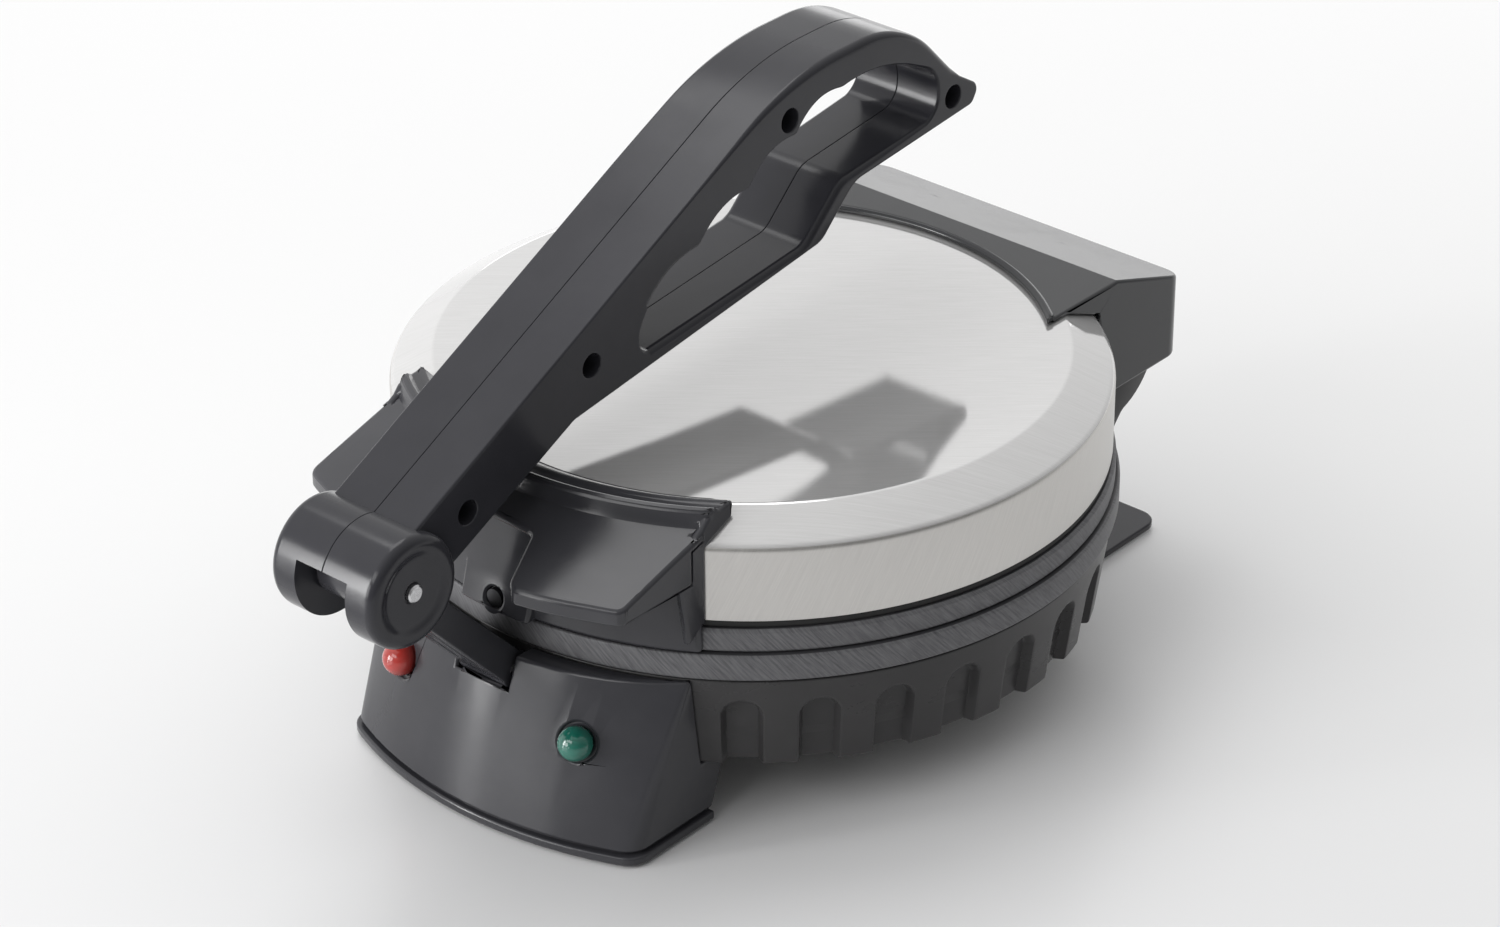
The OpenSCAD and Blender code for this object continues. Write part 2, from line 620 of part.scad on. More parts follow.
module base_wires() {
  color([0.8, 0.76, 0.7]) in_frame() both_sides() {
    wire([[9, 46, floor_z + 5], [9, 36, floor_z + 8], [3, 38, shield_z - 2], [3, 36, shield_z + 6],
      [3, 20, shield_z + 6]], 1.1);
  }
}

module console_screws() {
  color([0.7, 0.7, 0.72]) in_frame() both_sides() translate([console_screw_at[0], console_screw_at[1], 0]) {
    translate([0, 0, 1.1]) cylinder(r = 3, h = 1.5);
    translate([0, 0, 2]) cylinder(r = 1.5, h = 28);
  }
}

module leg_screws() {
  color([0.7, 0.7, 0.72]) in_frame() both_sides() translate([leg_screw_at[0], leg_screw_at[1], 0]) {
    translate([0, 0, 2.2]) cylinder(r = 3, h = 1.8);
    translate([0, 0, 3]) cylinder(r = 1.5, h = 27);
  }
}

module lens() {
  low = 0.1 - lens_recess;
  turn = asin((low - lens_out) / (lens_d / 2));
  at_lens() rotate_extrude() polygon(concat([[0, -4.6], [4, -4.6], [4, low]],
    [for (i = [0:12]) let (a = turn + (90 - turn) * i / 13) lens_d / 2 * [cos(a), sin(a)] + [0, lens_out]],
    [[0, lens_out + lens_d / 2]]));
}
module red_lens() { color([0.7, 0.15, 0.13]) in_frame() mirror([1, 0, 0]) lens(); }
module green_lens() { color([0.15, 0.5, 0.4]) in_frame() lens(); }
module lamp_holders() {
  color([0.85, 0.85, 0.8]) in_frame() both_sides() at_lens()
    rotate_extrude() polygon([[4.05, -wall - 1.1], [5.4, -wall - 1.1], [5.4, -8.2], [2.05, -8.2],
      [2.05, -7.2], [4.05, -7.2]]);
}
module neon_lamps() {
  color([0.9, 0.6, 0.4]) in_frame() both_sides() at_lens()
    rotate_extrude() polygon([[0, -4.8], [1.2, -5], [2, -6], [2, -9.6], [0, -9.6]]);
}

module hinge_pins() {
  color([0.75, 0.76, 0.78]) in_frame() both_sides()
    rod_x(lug_in - 0.1, ear_in + 7, hinge_reach, hinge_z, hinge_pin_d / 2);
}
module link_pin() {
  color([0.75, 0.76, 0.78]) in_frame()
    rod_x(-pivot_pin_half, pivot_pin_half, -pivot_reach, pivot_z, pivot_pin_d / 2);
}

module upper_plate() {
  under = upper_z + 0.6;
  color([0.36, 0.36, 0.37]) in_frame() difference() {
    union() {
      lathe([[0, under], [recess_d / 2, under], [recess_d / 2 + 0.6, upper_z], [upper_r - 0.6, upper_z],
        [upper_r, upper_z + 0.6], [upper_r, upper_top - 0.8], [upper_r - 0.8, upper_top],
        [upper_r - 6, upper_top], [upper_r - 6, upper_z + plate_t], [0, upper_z + plate_t]]);
      both_sides() translate([ear_plate_in, upper_r - 5, upper_z + 0.7])
        cube([ear_plate_out - ear_plate_in, hinge_gap + 10, upper_rim_h - 1]);
    }
    both_sides() translate([cover_screw_x, cover_screw_y, 0]) cylinder(r = 1.7, h = 100);
    both_sides() translate([cover_screw_x, cover_screw_y, 0]) cylinder(r = 3.3, h = upper_z + 3);
    translate([0, -upper_r - 1, upper_z + 3.7]) rotate([-90, 0, 0]) cylinder(r = 1.52, h = 9);
  }
}

module upper_heater() {
  color([0.55, 0.53, 0.5]) in_frame() heater(upper_z + plate_t + heater_tube + 0.05, 1);
}

module lid_insulation() {
  z = upper_z + plate_t + 2 * heater_tube + 0.1;
  color([0.88, 0.87, 0.83]) in_frame() difference() {
    lathe([[0, z], [90, z], [93, z + 2], [93, z + 11], [91, z + 13], [0, z + 13]]);
    for (a = [100, 440]) rotate([0, 0, a]) translate([heater_r, 0, z - 1])
      cylinder(r = 3, h = 10, $fn = 32);
  }
}

module lid_gasket() {
  inner = lid_r - sheet_t;
  color([0.08, 0.08, 0.09]) in_frame() lathe([[upper_r - 7, upper_top], [inner + 0.4, upper_top],
    [inner + 0.4, lid_z], [inner - 0.1, lid_z], [inner - 0.1, lid_z + 5.5], [inner - 2.6, lid_z + 5.5],
    [inner - 2.6, lid_z + 0.5], [upper_r - 7, lid_z + 0.5]]);
}

module at_clip_screw() {
  both_sides() rotate([0, 0, clip_screw_angle - 90]) translate([0, 0, clip_screw_z])
    rotate([0, 90, 0]) children();
}

module steel_lid() {
  color([0.82, 0.83, 0.85]) in_frame() difference() {
    lathe([[lid_r, lid_z], [lid_r, shoulder_z], [lid_flat_r, lid_top_z], [0, lid_top_z],
      [0, lid_top_z - sheet_t], [lid_flat_r - 0.25 * sheet_t, lid_top_z - sheet_t],
      [lid_r - sheet_t, shoulder_z - 0.6 * sheet_t],
      [lid_r - sheet_t, lid_z]]);
    at_clip_screw() cylinder(r = 1.6, h = 130);
  }
}

// Clip over the lid's front edge: wall, bead, wings with their lip, side walls and central block
wing_turn = asin(clip_half / wing_r);
// The wings seen from above, with their outer front corners rounded
wing_plan = rounded(concat([[-clip_half, -80, 0]],
  [for (i = [0:6]) let (a = wing_turn * (i / 3 - 1), r = wing_r + 0.25)
    [r * sin(a), -r * cos(a), i == 0 || i == 6 ? wing_round : 0]], [[clip_half, -80, 0]]));

module front_clip() {
  skin = lid_edge(0.15);
  seat = upper_r + 0.15;
  wing_end = bead_foot_z - 2.5;
  color([0.09, 0.09, 0.1]) in_frame() difference() {
    union() {
      intersection() {
        lathe([[seat, upper_z + 0.3], [clip_outer_r, upper_z + 0.3], [clip_outer_r, bead_foot_z - 1.2],
          [bead_r + 0.6, bead_foot_z], [bead_r, bead_foot_z + 1.2], [bead_r - 0.6, bead_top_z - 1.6],
          [bead_r - 1.1, bead_top_z - 0.4], [bead_r - 2, bead_top_z], [bead_r - 2.9, bead_top_z - 0.4],
          [bead_r - 4.2, bead_top_z - 1.3], [bead_r - 5.6, bead_top_z - 1.2],
          [bead_r - 7, bead_top_z - 0.7], [bead_r - 8.2, bead_top_z - 1],
          [bead_inner_r + 0.3, bead_top_z - 2.6],
          [bead_inner_r, skin[1][1] + 0.4], [bead_inner_r, skin[1][1]], skin[1], skin[0],
          [skin[0][0], upper_top + 1], [seat, upper_top + 1]]);
        translate([-clip_half, -140, 0]) cube([2 * clip_half, 66, 200]);
      }
      difference() {
        intersection() {
          lathe([[bead_r + 1.6, bead_foot_z - 0.5], [wing_r, wing_z], [wing_r, wing_z - lip_h],
            [wing_r - 2.4, wing_z - lip_h], [wing_r - 2.4, wing_z - 1.75], [bead_r + 1.6, wing_end - 0.5]]);
          linear_extrude(200) polygon(wing_plan);
        }
        translate([0, 0, 70]) linear_extrude(40) polygon(rounded([[-31, -145, 0], [-31, -127.5, 0],
          [-gap_front_half, -128.6, 5], [-gap_back_half, -gap_reach, 3], [gap_back_half, -gap_reach, 3],
          [gap_front_half, -128.6, 5], [31, -127.5, 0], [31, -145, 0]]));
      }
      intersection() {
        lathe([[bead_r, wing_under_z], [wing_r, wing_under_z], [wing_r, wing_z], [bead_r, bead_foot_z]]);
        linear_extrude(200) polygon(wing_plan);
        both_sides() translate([clip_half - wall - 0.5, -140, 0]) cube([wall + 1, 50, 200]);
      }
      difference() {
        both_sides() side_slab(clip_half - wall, clip_half, [[-95, wing_under_z],
          [-88.4, bead_foot_z - 0.8], [-86, bead_foot_z + 0.5], [-83.6, bead_top_z - 2],
          [-76.4, bead_top_z - 2.4], [-75.8, 94.5], [-84.4, 91.6], [-84.4, 69], [-91.8, 63.5]]);
        lid_room(0.15);
        cylinder(r = seat, h = upper_top + 1, $fn = 128);
      }
      intersection() {
        lathe([[clip_outer_r - 1, upper_z + 0.3], [108, upper_z + 0.3], [clip_outer_r - 0.6, block_top_z],
          [clip_outer_r - 1, block_top_z]]);
        translate([-block_half, -140, 0]) cube([2 * block_half, 60, 200]);
      }
      at_clip_screw() translate([0, 0, lid_r + 1.5]) cylinder(r = 4, h = 8);
    }
    at_clip_screw() cylinder(r = 1.52, h = lid_r + 8.2);
    translate([0, -130, upper_z + 3.7]) rotate([-90, 0, 0]) cylinder(r = 1.7, h = 40);
    translate([0, -130, upper_z + 3.7]) rotate([-90, 0, 0]) cylinder(r = 3, h = 130 - upper_r - 2);
  }
}

module clip_screws() {
  color([0.7, 0.7, 0.72]) in_frame() {
    at_clip_screw() translate([0, 0, lid_r - sheet_t - 1.8]) cylinder(r = 2.8, h = 1.6);
    at_clip_screw() translate([0, 0, lid_r - sheet_t - 1]) cylinder(r = 1.5, h = 8.5);
    translate([0, -upper_r - 2, upper_z + 3.7]) rotate([90, 0, 0]) cylinder(r = 2.7, h = 1.6);
    translate([0, -upper_r - 2.5, upper_z + 3.7]) rotate([-90, 0, 0]) cylinder(r = 1.5, h = 7.5);
  }
}

// Rear cover's side outline, moved inwards by d
function cover_side(d) = [[cover_front_r * 0.6, cover_top_z - d],
  [cover_crease - d * 0.17, cover_top_z - d], [rear_reach - d, cover_back_z - d * 1.15],
  [rear_reach - d, cover_bottom - d * 20], [91 + d, cover_bottom - d * 20],
  [91 + d, cover_bottom], [84.5 + d, shoulder_z], [cover_front_r * 0.6, shoulder_z]];

module rear_cover() {
  color([0.09, 0.09, 0.1]) in_frame() difference() {
    union() {
      difference() {
        intersection() {
          side_slab(-cover_half, cover_half, cover_side(0));
          linear_extrude(200) polygon(rounded([[-cover_half, 0, 0], [-cover_half, rear_reach, 7],
            [cover_half, rear_reach, 7], [cover_half, 0, 0]]));
        }
        intersection() {
          side_slab(-cover_half + cover_wall, cover_half - cover_wall, cover_side(cover_wall));
          linear_extrude(200) polygon(rounded([[-cover_half + cover_wall, 0, 0],
            [-cover_half + cover_wall, rear_reach - cover_wall, 4.8],
            [cover_half - cover_wall, rear_reach - cover_wall, 4.8], [cover_half - cover_wall, 0, 0]]));
        }
      }
      intersection() {
        lathe([[cover_front_r, cover_top_z - 1], [cover_front_r, cover_top_z + 0.2],
          [cover_front_r + 0.7, cover_top_z + 0.8], [cover_front_r + 2, cover_top_z + 0.9],
          [cover_front_r + 2.8, cover_top_z - 0.2], [cover_front_r + 2.8, cover_top_z - 1]]);
        translate([-cover_half, 0, 0]) cube([2 * cover_half, 140, 200]);
      }
      both_sides() {
        side_slab(lug_in, lug_out, [[hinge_reach - 6.5, hinge_z], [hinge_reach - 6.5, cover_top_z - 5],
          [hinge_reach + 6.5, cover_top_z - 9], [hinge_reach + 6.5, hinge_z]]);
        rod_x(lug_in, lug_out, hinge_reach, hinge_z, lug_r);
        translate([cover_screw_x, cover_screw_y, upper_z + upper_rim_h - 0.3]) cylinder(r = 4.5, h = 26.5);
      }
    }
    lid_room(0.3);
    cylinder(r = upper_r + side_fit, h = upper_top + side_fit, $fn = 128);
    cylinder(r = cover_front_r, h = 200, $fn = 128);
    both_sides() rod_x(lug_in - 1, lug_out + 0.1, hinge_reach, hinge_z, hinge_pin_d / 2 + run_fit);
    both_sides() translate([cover_screw_x, cover_screw_y, 0]) cylinder(r = 1.52, h = upper_top + 12);
  }
}

module cover_screws() {
  color([0.7, 0.7, 0.72]) in_frame() both_sides() translate([cover_screw_x, cover_screw_y, upper_z]) {
    translate([0, 0, 1.4]) cylinder(r = 3, h = 1.6);
    translate([0, 0, 2]) cylinder(r = 1.5, h = 15);
  }
}

// Link drawn with its lower pin at the origin and its upper pin on +Y
module link_arm() {
  color([0.1, 0.1, 0.11]) in_frame() translate([0, -pivot_reach, pivot_z]) rotate([link_turn, 0, 0])
  difference() {
    union() {
      rod_x(-link_half, link_half, 0, 0, link_eye_low);
      rod_x(-link_half, link_half, link_len, 0, link_eye_top);
      side_slab(-link_half, link_half, [[0, -link_w_low / 2], [link_len, -link_w_top / 2],
        [link_len, link_w_top / 2], [0, link_w_low / 2]]);
    }
    rod_x(-20, 20, 0, 0, pivot_pin_d / 2 + run_fit);
    rod_x(-20, 20, link_len, 0, pin_d / 2 + run_fit);
    both_sides() translate([2.6, 9, 3.9]) cube([1.6, link_len - 22, 5]);
    both_sides() translate([2.6, 9, -8.9]) cube([1.6, link_len - 22, 5]);
  }
}

slot_outline = [[-22, -24], [-22, slot_top], [0, slot_top], [4.2, 4], [19.3, -12.2], [19.3, -24]];

// Half of the handle on its right side, around the pin
module handle_shell() {
  difference() {
    union() {
      side_slab(0, handle_half, rounded(handle_corners));
      rod_x(0, fork_half, 0, 0, fork_r);
    }
    difference() {
      translate([-1, 0, 0]) rotate([90, 0, 90]) linear_extrude(handle_half - handle_wall + 1)
      intersection() {
        polygon(rounded(inset(handle_corners, handle_wall)));
        polygon(hollow_clip);
      }
      for (p = handle_screw_places) rod_x(-1, handle_half, p[0], p[1], handle_hole_d / 2 + 1.6);
    }
    side_slab(-1, handle_half + 1, grip_outline());
    side_slab(-1, slot_half, slot_outline);
    rod_x(-1, slot_half, 0, 0, link_eye_top + 1);
    rod_x(-1, fork_half + 1, 0, 0, pin_d / 2 + 0.02);
    translate([fork_half - 1, 0, 0]) rotate([0, 90, 0]) difference() {
      cylinder(r = 10.5, h = 3);
      translate([0, 0, -1]) cylinder(r = 7.5, h = 5);
    }
  }
}

module handle_right() {
  color([0.08, 0.08, 0.09]) in_frame() translate([0, -pin_reach, pin_z]) difference() {
    handle_shell();
    for (p = handle_screw_places) {
      rod_x(5, far, p[0], p[1], handle_hole_d / 2);
      rod_x(-1, 6, p[0], p[1], 1.6);
    }
  }
}

module handle_left() {
  color([0.08, 0.08, 0.09]) in_frame() translate([0, -pin_reach, pin_z]) mirror([1, 0, 0]) difference() {
    handle_shell();
    for (p = handle_screw_places) rod_x(-1, 10.5, p[0], p[1], 1.52);
  }
}

module handle_pin() {
  r = pin_d / 2;
  color([0.75, 0.76, 0.78]) in_frame() translate([-fork_half - 0.25, -pin_reach, pin_z]) rotate([0, 90, 0])
    rotate_extrude() polygon([[0, 0], [r - 0.4, 0], [r, 0.4], [r, 2 * fork_half + 0.1],
      [r - 0.4, 2 * fork_half + 0.5], [0, 2 * fork_half + 0.5]]);
}

module handle_screws() {
  color([0.7, 0.7, 0.72]) in_frame() translate([0, -pin_reach, pin_z]) for (p = handle_screw_places) {
    rod_x(5, 6.8, p[0], p[1], 3);
    rod_x(-10, 5.5, p[0], p[1], 1.5);
  }
}

base_shell();
front_console();
console_foot();
rear_leg();
rubber_feet();
lower_plate();
lower_heater();
heat_shield();
plate_screws();
thermostat();
thermal_fuse();
terminal_block();
base_wires();
console_screws();
leg_screws();
red_lens();
green_lens();
lamp_holders();
neon_lamps();
cord_bush();
hinge_pins();
link_pin();
upper_plate();
upper_heater();
lid_insulation();
lid_gasket();
steel_lid();
front_clip();
clip_screws();
rear_cover();
cover_screws();
link_arm();
handle_left();
handle_right();
handle_pin();
handle_screws();
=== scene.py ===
"""Studio scene of an electric flatbread press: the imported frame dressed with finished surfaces."""

import math

import bmesh
import bpy
from mathutils import Matrix, Vector
from mathutils.bvhtree import BVHTree
from mathutils.geometry import tessellate_polygon


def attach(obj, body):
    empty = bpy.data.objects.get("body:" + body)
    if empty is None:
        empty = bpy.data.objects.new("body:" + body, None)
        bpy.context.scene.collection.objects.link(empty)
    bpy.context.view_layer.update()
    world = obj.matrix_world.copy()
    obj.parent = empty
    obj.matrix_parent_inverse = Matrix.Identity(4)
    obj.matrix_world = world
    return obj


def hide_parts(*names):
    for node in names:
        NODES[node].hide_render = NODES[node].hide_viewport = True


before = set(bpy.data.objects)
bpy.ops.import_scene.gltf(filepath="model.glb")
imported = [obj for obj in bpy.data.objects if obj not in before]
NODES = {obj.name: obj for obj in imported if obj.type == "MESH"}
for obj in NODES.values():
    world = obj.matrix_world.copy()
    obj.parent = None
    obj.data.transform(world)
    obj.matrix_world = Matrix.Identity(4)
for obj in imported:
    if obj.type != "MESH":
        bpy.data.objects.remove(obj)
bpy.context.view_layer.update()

MM = 0.001
# The lid's axis in the row's frame, and the sizes that the pieces share, in millimetres
AXIS_Y = 21.5
SEAM = 59.0
LOWER_R, LID_R = 104.3, 102.0
UPPER_TOP = 66.3
LID_BOTTOM, LID_SHOULDER, LID_TOP, LID_FLAT_R = 68.5, 91.0, 97.5, 89.7
LID_SHEET = 0.8
# The handle's pin, from the lid's axis
PIN_Y, PIN_Z = -154.0, 94.0


# Shader helpers

def new_material(name):
    """A material with its node tree and its surface shader."""
    mat = bpy.data.materials.new(name)
    mat.use_nodes = True
    tree = mat.node_tree
    shader = tree.nodes["Principled BSDF"]
    return mat, tree, shader


def node(tree, kind, **values):
    """A new node with some of its settings."""
    made = tree.nodes.new(kind)
    for key, value in values.items():
        setattr(made, key, value)
    return made


def coords(tree, scale=(1, 1, 1), rotation=(0, 0, 0)):
    """Object coordinates through a mapping."""
    source = node(tree, "ShaderNodeTexCoord")
    mapping = node(tree, "ShaderNodeMapping", vector_type="TEXTURE")
    mapping.inputs["Scale"].default_value = tuple(1 / v for v in scale)
    mapping.inputs["Rotation"].default_value = rotation
    tree.links.new(source.outputs["Object"], mapping.inputs["Vector"])
    return mapping.outputs["Vector"]


def wrapped_coords(tree, radius, slant, along, across):
    """Coordinates of a surface unrolled around the lid's axis, turned by slant and stretched."""
    link = tree.links.new
    source = node(tree, "ShaderNodeTexCoord")
    shifted = node(tree, "ShaderNodeVectorMath", operation="SUBTRACT")
    shifted.inputs[1].default_value = (0, AXIS_Y * MM, 0)
    link(source.outputs["Object"], shifted.inputs[0])
    parts = node(tree, "ShaderNodeSeparateXYZ")
    link(shifted.outputs["Vector"], parts.inputs[0])
    turn = node(tree, "ShaderNodeMath", operation="ARCTAN2")
    link(parts.outputs["Y"], turn.inputs[0])
    link(parts.outputs["X"], turn.inputs[1])
    arc = node(tree, "ShaderNodeMath", operation="MULTIPLY")
    arc.inputs[1].default_value = radius * MM
    link(turn.outputs[0], arc.inputs[0])
    joined = node(tree, "ShaderNodeCombineXYZ")
    link(arc.outputs[0], joined.inputs["X"])
    link(parts.outputs["Z"], joined.inputs["Y"])
    mapping = node(tree, "ShaderNodeMapping", vector_type="TEXTURE")
    mapping.inputs["Rotation"].default_value = (0, 0, slant)
    mapping.inputs["Scale"].default_value = (1 / along, 1 / across, 1)
    link(joined.outputs[0], mapping.inputs["Vector"])
    return mapping.outputs["Vector"]


def noise(tree, vector, scale, detail=3.0, roughness=0.5):
    """Cloudy noise from 0 to 1."""
    made = node(tree, "ShaderNodeTexNoise")
    made.inputs["Scale"].default_value = scale
    made.inputs["Detail"].default_value = detail
    made.inputs["Roughness"].default_value = roughness
    tree.links.new(vector, made.inputs["Vector"])
    return made.outputs["Fac"]


def ranged(tree, value, low, high, start=0.3, end=0.7):
    """A value moved from one range to another and held inside it."""
    made = node(tree, "ShaderNodeMapRange")
    made.inputs["From Min"].default_value = start
    made.inputs["From Max"].default_value = end
    made.inputs["To Min"].default_value = low
    made.inputs["To Max"].default_value = high
    tree.links.new(value, made.inputs["Value"])
    return made.outputs["Result"]


def tinted(tree, value, dark, light):
    """A colour between two, by a value."""
    ramp = node(tree, "ShaderNodeValToRGB")
    ramp.color_ramp.elements[0].position = 0.3
    ramp.color_ramp.elements[0].color = (*dark, 1)
    ramp.color_ramp.elements[1].position = 0.7
    ramp.color_ramp.elements[1].color = (*light, 1)
    tree.links.new(value, ramp.inputs["Fac"])
    return ramp.outputs["Color"]


def add_bump(tree, shader, value, strength, distance):
    """Fine relief on a surface, with its depth in metres."""
    bump = node(tree, "ShaderNodeBump")
    bump.inputs["Strength"].default_value = strength
    bump.inputs["Distance"].default_value = distance
    tree.links.new(value, bump.inputs["Height"])
    tree.links.new(bump.outputs["Normal"], shader.inputs["Normal"])


def plastic(name, dark, light, rough, grain=900.0, depth=0.00004, scuff=0.05, gloss=0.5):
    """Moulded plastic: mottled colour, cloudy gloss and a fine spark-eroded grain."""
    mat, tree, shader = new_material(name)
    cloud = noise(tree, coords(tree), 22.0, 4.0, 0.6)
    tree.links.new(tinted(tree, cloud, dark, light), shader.inputs["Base Color"])
    patch = noise(tree, coords(tree, (1, 1, 1.6)), 48.0, 5.0, 0.65)
    tree.links.new(ranged(tree, patch, rough - scuff, rough + scuff), shader.inputs["Roughness"])
    add_bump(tree, shader, noise(tree, coords(tree), grain, 2.0, 0.6), 0.35, depth)
    shader.inputs["IOR"].default_value = 1.5
    shader.inputs["Specular IOR Level"].default_value = gloss
    return mat


def brushed(name, colour, rough, vector_maker, depth=0.00003, spread=0.05, metal=1.0):
    """Steel with drawn lines in the gloss and in the surface."""
    mat, tree, shader = new_material(name)
    lines = noise(tree, vector_maker(tree), 1.0, 6.0, 0.75)
    dim = tuple(0.87 * c for c in colour)
    tree.links.new(tinted(tree, lines, dim, colour), shader.inputs["Base Color"])
    tree.links.new(ranged(tree, lines, rough - spread, rough + spread), shader.inputs["Roughness"])
    add_bump(tree, shader, lines, 0.25, depth)
    shader.inputs["Metallic"].default_value = metal
    return mat


black = plastic("black_handle", (0.026, 0.026, 0.031), (0.036, 0.036, 0.042),
                0.18, 1100.0, 0.00002, 0.04, 0.35)
black_front = plastic("black_moulding", (0.034, 0.034, 0.039), (0.046, 0.046, 0.052),
                      0.20, 900.0, 0.00003, 0.05, 0.45)
black_cover = plastic("black_cover", (0.010, 0.011, 0.013), (0.017, 0.018, 0.021),
                      0.22, 900.0, 0.00003, 0.05, 0.55)
black_skirt = plastic("black_skirt", (0.036, 0.035, 0.036), (0.050, 0.049, 0.050),
                      0.30, 900.0, 0.00004, 0.05, 0.3)
rubber = plastic("rubber", (0.02, 0.02, 0.02), (0.03, 0.03, 0.03), 0.75, 500.0, 0.0001)
dark_ring = plastic("dark_ring", (0.006, 0.006, 0.006), (0.012, 0.012, 0.012), 0.6)

steel_top = brushed("steel_top", (0.76, 0.755, 0.75), 0.055,
                    lambda t: coords(t, (60, 2600, 60), (0, 0, math.radians(41))), 0.000014, 0.02, 0.60)
steel_side = brushed("steel_side", (0.68, 0.665, 0.64), 0.34,
                     lambda t: wrapped_coords(t, LID_R, math.radians(-24), 1800, 60), 0.00004, 0.06, 0.9)
plated = brushed("plated_steel", (0.72, 0.72, 0.73), 0.28,
                 lambda t: coords(t, (900, 900, 900)), 0.00002)
blackened = brushed("blackened_steel", (0.10, 0.10, 0.105), 0.35,
                    lambda t: coords(t, (900, 900, 900)), 0.00002)
sheet_metal = brushed("bright_sheet", (0.80, 0.81, 0.82), 0.3, lambda t: coords(t, (30, 900, 30)))


def cast_plate(name):
    """Coated plate with slanting turning marks around its rim."""
    mat, tree, shader = new_material(name)
    marks = noise(tree, wrapped_coords(tree, LOWER_R, math.radians(-48), 110, 1700), 1.0, 4.0, 0.7)
    tree.links.new(tinted(tree, marks, (0.075, 0.075, 0.080), (0.200, 0.200, 0.208)),
                   shader.inputs["Base Color"])
    tree.links.new(ranged(tree, marks, 0.42, 0.58), shader.inputs["Roughness"])
    shader.inputs["Metallic"].default_value = 0.35
    add_bump(tree, shader, marks, 0.6, 0.00012)
    return mat


plate_metal = cast_plate("coated_plate")
plate_face = plastic("plate_face", (0.040, 0.040, 0.043), (0.058, 0.058, 0.062), 0.36, 700.0, 0.00008)
ceramic = plastic("ceramic", (0.62, 0.59, 0.52), (0.72, 0.69, 0.62), 0.6, 400.0, 0.0001)
fibre = plastic("ceramic_fibre", (0.7, 0.69, 0.64), (0.82, 0.81, 0.77), 0.9, 260.0, 0.0006)
sleeve = plastic("wire_sleeve", (0.55, 0.5, 0.42), (0.68, 0.63, 0.55), 0.7, 1500.0, 0.0001)
heater = plastic("heater_sheath", (0.14, 0.12, 0.11), (0.26, 0.24, 0.22), 0.5, 600.0, 0.0001)
holder = plastic("lamp_holder", (0.7, 0.7, 0.66), (0.8, 0.8, 0.76), 0.4)


def lens_material(name, colour):
    """Tinted clear plastic with a glossy coat and some light inside it."""
    mat, tree, shader = new_material(name)
    cloud = noise(tree, coords(tree), 160.0, 3.0, 0.5)
    dark = tuple(0.7 * c for c in colour)
    tree.links.new(tinted(tree, cloud, dark, colour), shader.inputs["Base Color"])
    tree.links.new(ranged(tree, noise(tree, coords(tree), 420.0), 0.05, 0.12), shader.inputs["Roughness"])
    shader.inputs["Coat Weight"].default_value = 0.6
    shader.inputs["Subsurface Weight"].default_value = 0.25
    shader.inputs["Subsurface Radius"].default_value = (0.004, 0.004, 0.004)
    return mat


red_glass = lens_material("red_lens", (0.50, 0.045, 0.035))
green_glass = lens_material("green_lens", (0.016, 0.165, 0.120))
glass = lens_material("neon_glass", (0.7, 0.4, 0.3))


# Mesh helpers

def to_world(x, y, z):
    """A place given in millimetres on the lid's axis, in the row's frame and in metres."""
    return Vector((x * MM, (y + AXIS_Y) * MM, z * MM))


def add_object(name, bm, materials, body, source, sharp=38.0):
    """Makes an object of a bmesh, smooth except at its sharp edges, in place of a CAD node."""
    bmesh.ops.recalc_face_normals(bm, faces=bm.faces)
    for face in bm.faces:
        face.smooth = True
    for edge in bm.edges:
        if len(edge.link_faces) == 2 and edge.calc_face_angle(0) > math.radians(sharp):
            edge.smooth = False
    mesh = bpy.data.meshes.new(name)
    bm.to_mesh(mesh)
    bm.free()
    obj = bpy.data.objects.new(name, mesh)
    bpy.context.scene.collection.objects.link(obj)
    for mat in materials:
        mesh.materials.append(mat)
    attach(obj, body)
    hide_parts(source)
    return obj


def even_normals(obj):
    """Shades the large faces flat, so that only the roundings bend the light."""
    mod = obj.modifiers.new("even_normals", "WEIGHTED_NORMAL")
    mod.keep_sharp = True
    mod.weight = 60


def rounded(points, steps=5):
    """A polyline of (a, b, radius) corners with arcs in place of its corners; the ends stay."""
    out = [points[0][:2]]
    for before, corner, after in zip(points, points[1:], points[2:]):
        out.extend(corner_arc(before, corner, after, steps))
    out.append(points[-1][:2])
    return out


def rounded_loop(points, steps=5):
    """The same for a closed outline."""
    out = []
    count = len(points)
    for i, corner in enumerate(points):
        out.extend(corner_arc(points[i - 1], corner, points[(i + 1) % count], steps))
    return out


def corner_arc(before, corner, after, steps):
    """The points of one rounded corner."""
    b = Vector(corner[:2])
    u = (Vector(before[:2]) - b).normalized()
    v = (Vector(after[:2]) - b).normalized()
    radius = corner[2]
    turn = u.angle(v)
    if radius <= 0 or turn > math.radians(179.5):
        return [tuple(b)]
    reach = radius / math.tan(turn / 2)
    centre = b + (u + v).normalized() * (radius / math.sin(turn / 2))
    start = b + u * reach - centre
    end = b + v * reach - centre
    a0 = math.atan2(start.y, start.x)
    sweep = (math.atan2(end.y, end.x) - a0 + 3 * math.pi) % (2 * math.pi) - math.pi
    return [(centre.x + radius * math.cos(a0 + sweep * i / steps),
             centre.y + radius * math.sin(a0 + sweep * i / steps)) for i in range(steps + 1)]


